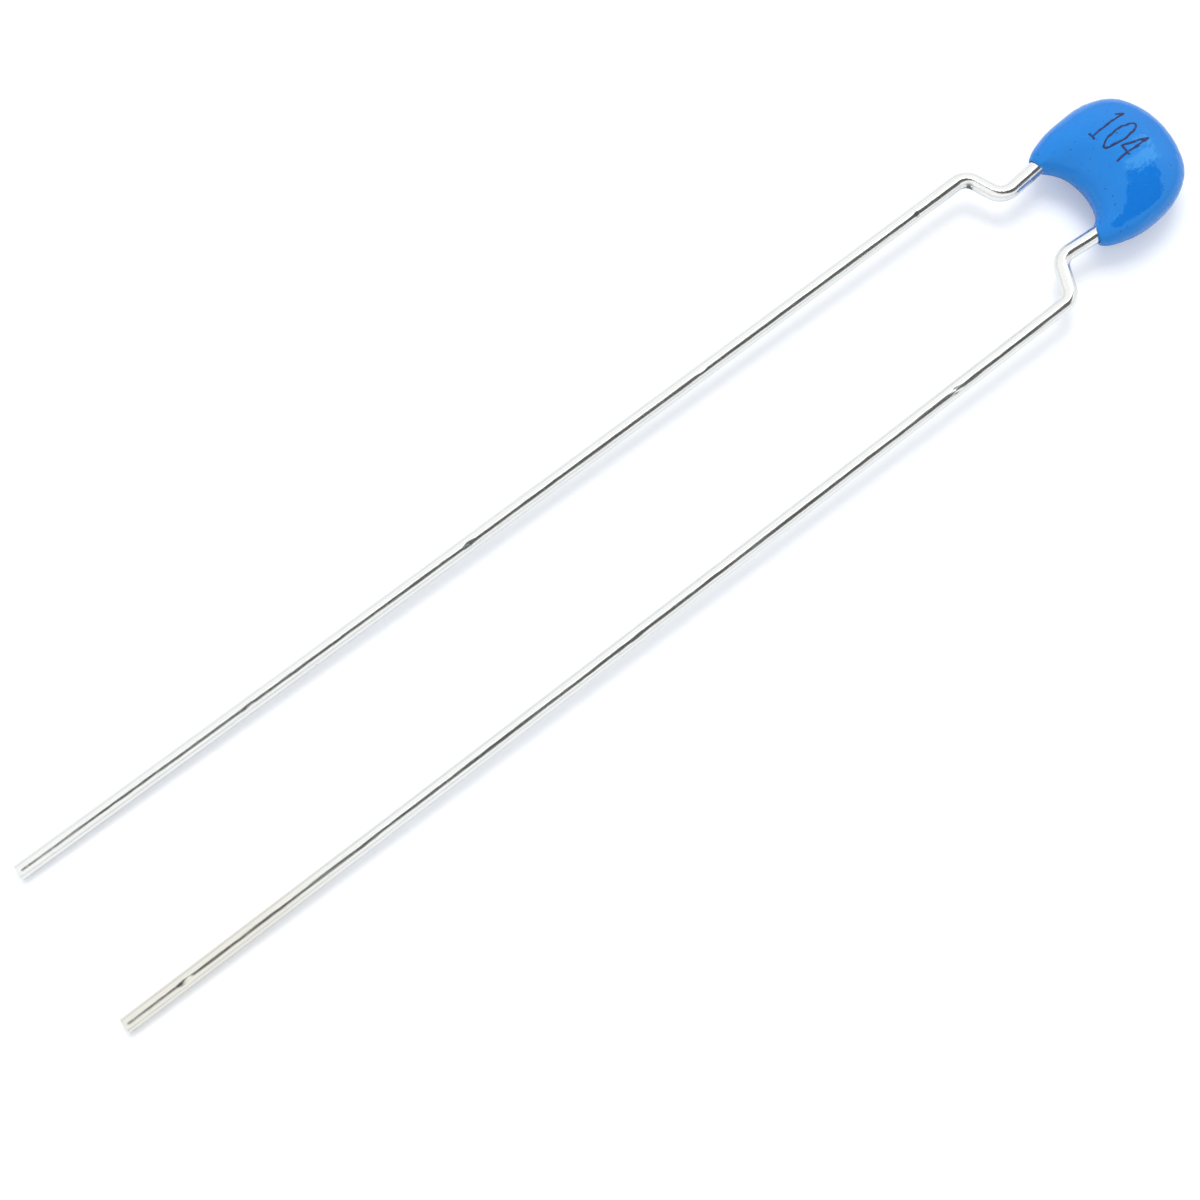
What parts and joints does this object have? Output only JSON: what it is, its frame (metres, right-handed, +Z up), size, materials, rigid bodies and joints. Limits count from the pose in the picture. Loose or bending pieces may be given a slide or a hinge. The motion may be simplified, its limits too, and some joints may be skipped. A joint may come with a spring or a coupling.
{
  "type": "ceramic disc capacitor",
  "caption": "Small dipped ceramic disc capacitor with long kinked wire leads for a circuit board, lying on its side.",
  "frame": {"origin": "middle of the bottom of the whole part as it lies at rest: under its box's centre, on the ground", "axes": "+X along the leads from their cut tips to the head, +Y towards the front lead, +Z up, out of the part's front face"},
  "size_m": [0.039, 0.0056, 0.0022],
  "materials": {
    "blue_coating": "smooth glossy dipped resin with small pits",
    "tinned_wire": "bright drawn tin plating with handling scratches",
    "ceramic": "fired matte ceramic",
    "fired_silver": "matte fired silver",
    "solder": "bright solder"
  },
  "bodies": {
    "root": {"epoxy_coating": "blue_coating", "ceramic_disc": "ceramic", "electrode_front": "fired_silver", "electrode_back": "fired_silver", "solder_front": "solder", "solder_back": "solder", "lead_front": "tinned_wire", "lead_back": "tinned_wire"}
  },
  "joints": []
}
